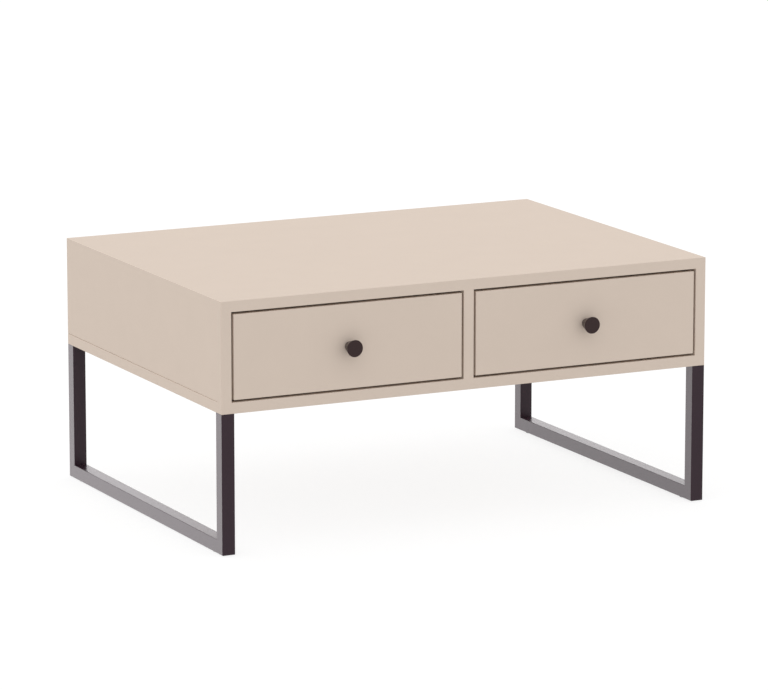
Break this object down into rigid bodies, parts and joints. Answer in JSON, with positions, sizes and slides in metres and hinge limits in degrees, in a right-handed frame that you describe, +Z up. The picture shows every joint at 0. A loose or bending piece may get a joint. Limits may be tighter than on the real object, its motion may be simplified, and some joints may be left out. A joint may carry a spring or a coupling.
{
  "type": "coffee table",
  "caption": "Low rectangular coffee table with side-by-side inset drawers on ball runners, conical knobs and open sled legs of square steel tube.",
  "frame": {"origin": "on the floor, under the middle of the overall width and depth, knobs included", "axes": "+X to the right as seen from the drawer side, +Y to the back, +Z up"},
  "size_m": [0.98, 0.729, 0.461],
  "materials": {
    "cashmere_board": "matte cashmere beige melamine",
    "drawer_board": "matte pale grey beige melamine",
    "drawer_sheet": "lacquered hardboard",
    "black_steel": "satin black powder coat",
    "knob_metal": "satin dark brown black",
    "zinc_steel": "zinc plated",
    "bearing_steel": "bright steel",
    "beech": "raw beech",
    "glide_plastic": "moulded black plastic"
  },
  "bodies": {
    "table": {"back_panel": "cashmere_board", "bottom_panel": "cashmere_board", "cabinet_rail_screws": "zinc_steel", "carcass_cam_bolts": "zinc_steel", "carcass_cam_locks": "zinc_steel", "carcass_confirmat_screws": "zinc_steel", "carcass_dowels": "beech", "centre_divider": "cashmere_board", "floor_glides": "glide_plastic", "frame_screws": "zinc_steel", "left_drawer_left_cabinet_rail": "zinc_steel", "left_drawer_right_cabinet_rail": "zinc_steel", "left_frame_floor_bar": "black_steel", "left_frame_front_post": "black_steel", "left_frame_mounting_strip": "black_steel", "left_frame_rear_post": "black_steel", "left_side_panel": "cashmere_board", "mitre_splines": "beech", "right_drawer_left_cabinet_rail": "zinc_steel", "right_drawer_right_cabinet_rail": "zinc_steel", "right_frame_floor_bar": "black_steel", "right_frame_front_post": "black_steel", "right_frame_mounting_strip": "black_steel", "right_frame_rear_post": "black_steel", "right_side_panel": "cashmere_board", "top_panel": "cashmere_board"},
    "left_drawer": {"left_drawer_back": "drawer_board", "left_drawer_back_screws": "zinc_steel", "left_drawer_bottom": "drawer_sheet", "left_drawer_cam_bolts": "zinc_steel", "left_drawer_cam_locks": "zinc_steel", "left_drawer_front": "cashmere_board", "left_drawer_knob": "knob_metal", "left_drawer_knob_screw": "zinc_steel", "left_drawer_left_drawer_rail": "zinc_steel", "left_drawer_left_side": "drawer_board", "left_drawer_rail_screws": "zinc_steel", "left_drawer_right_drawer_rail": "zinc_steel", "left_drawer_right_side": "drawer_board"},
    "left_inner_cages": {"left_drawer_inner_ball_cages": "bearing_steel"},
    "left_middle_rails": {"left_drawer_left_middle_rail": "zinc_steel", "left_drawer_right_middle_rail": "zinc_steel"},
    "left_outer_cages": {"left_drawer_outer_ball_cages": "bearing_steel"},
    "right_drawer": {"right_drawer_back": "drawer_board", "right_drawer_back_screws": "zinc_steel", "right_drawer_bottom": "drawer_sheet", "right_drawer_cam_bolts": "zinc_steel", "right_drawer_cam_locks": "zinc_steel", "right_drawer_front": "cashmere_board", "right_drawer_knob": "knob_metal", "right_drawer_knob_screw": "zinc_steel", "right_drawer_left_drawer_rail": "zinc_steel", "right_drawer_left_side": "drawer_board", "right_drawer_rail_screws": "zinc_steel", "right_drawer_right_drawer_rail": "zinc_steel", "right_drawer_right_side": "drawer_board"},
    "right_inner_cages": {"right_drawer_inner_ball_cages": "bearing_steel"},
    "right_middle_rails": {"right_drawer_left_middle_rail": "zinc_steel", "right_drawer_right_middle_rail": "zinc_steel"},
    "right_outer_cages": {"right_drawer_outer_ball_cages": "bearing_steel"}
  },
  "joints": [
    {"name": "left_drawer_slide", "type": "slide", "parent": "table", "child": "left_drawer", "axis": [0, -1, 0], "range_m": [0, 0.6]},
    {"name": "left_middle_rails_slide", "type": "slide", "parent": "table", "child": "left_middle_rails", "axis": [0, -1, 0], "range_m": [0, 0.3]},
    {"name": "left_outer_cages_slide", "type": "slide", "parent": "table", "child": "left_outer_cages", "axis": [0, -1, 0], "range_m": [0, 0.15]},
    {"name": "left_inner_cages_slide", "type": "slide", "parent": "table", "child": "left_inner_cages", "axis": [0, -1, 0], "range_m": [0, 0.45]},
    {"name": "right_drawer_slide", "type": "slide", "parent": "table", "child": "right_drawer", "axis": [0, -1, 0], "range_m": [0, 0.6]},
    {"name": "right_middle_rails_slide", "type": "slide", "parent": "table", "child": "right_middle_rails", "axis": [0, -1, 0], "range_m": [0, 0.3]},
    {"name": "right_outer_cages_slide", "type": "slide", "parent": "table", "child": "right_outer_cages", "axis": [0, -1, 0], "range_m": [0, 0.15]},
    {"name": "right_inner_cages_slide", "type": "slide", "parent": "table", "child": "right_inner_cages", "axis": [0, -1, 0], "range_m": [0, 0.45]}
  ],
  "couplings": [
    {"joint": "left_middle_rails_slide", "follows": "left_drawer_slide", "ratio": 0.5},
    {"joint": "left_outer_cages_slide", "follows": "left_drawer_slide", "ratio": 0.25},
    {"joint": "left_inner_cages_slide", "follows": "left_drawer_slide", "ratio": 0.75},
    {"joint": "right_middle_rails_slide", "follows": "right_drawer_slide", "ratio": 0.5},
    {"joint": "right_outer_cages_slide", "follows": "right_drawer_slide", "ratio": 0.25},
    {"joint": "right_inner_cages_slide", "follows": "right_drawer_slide", "ratio": 0.75}
  ]
}
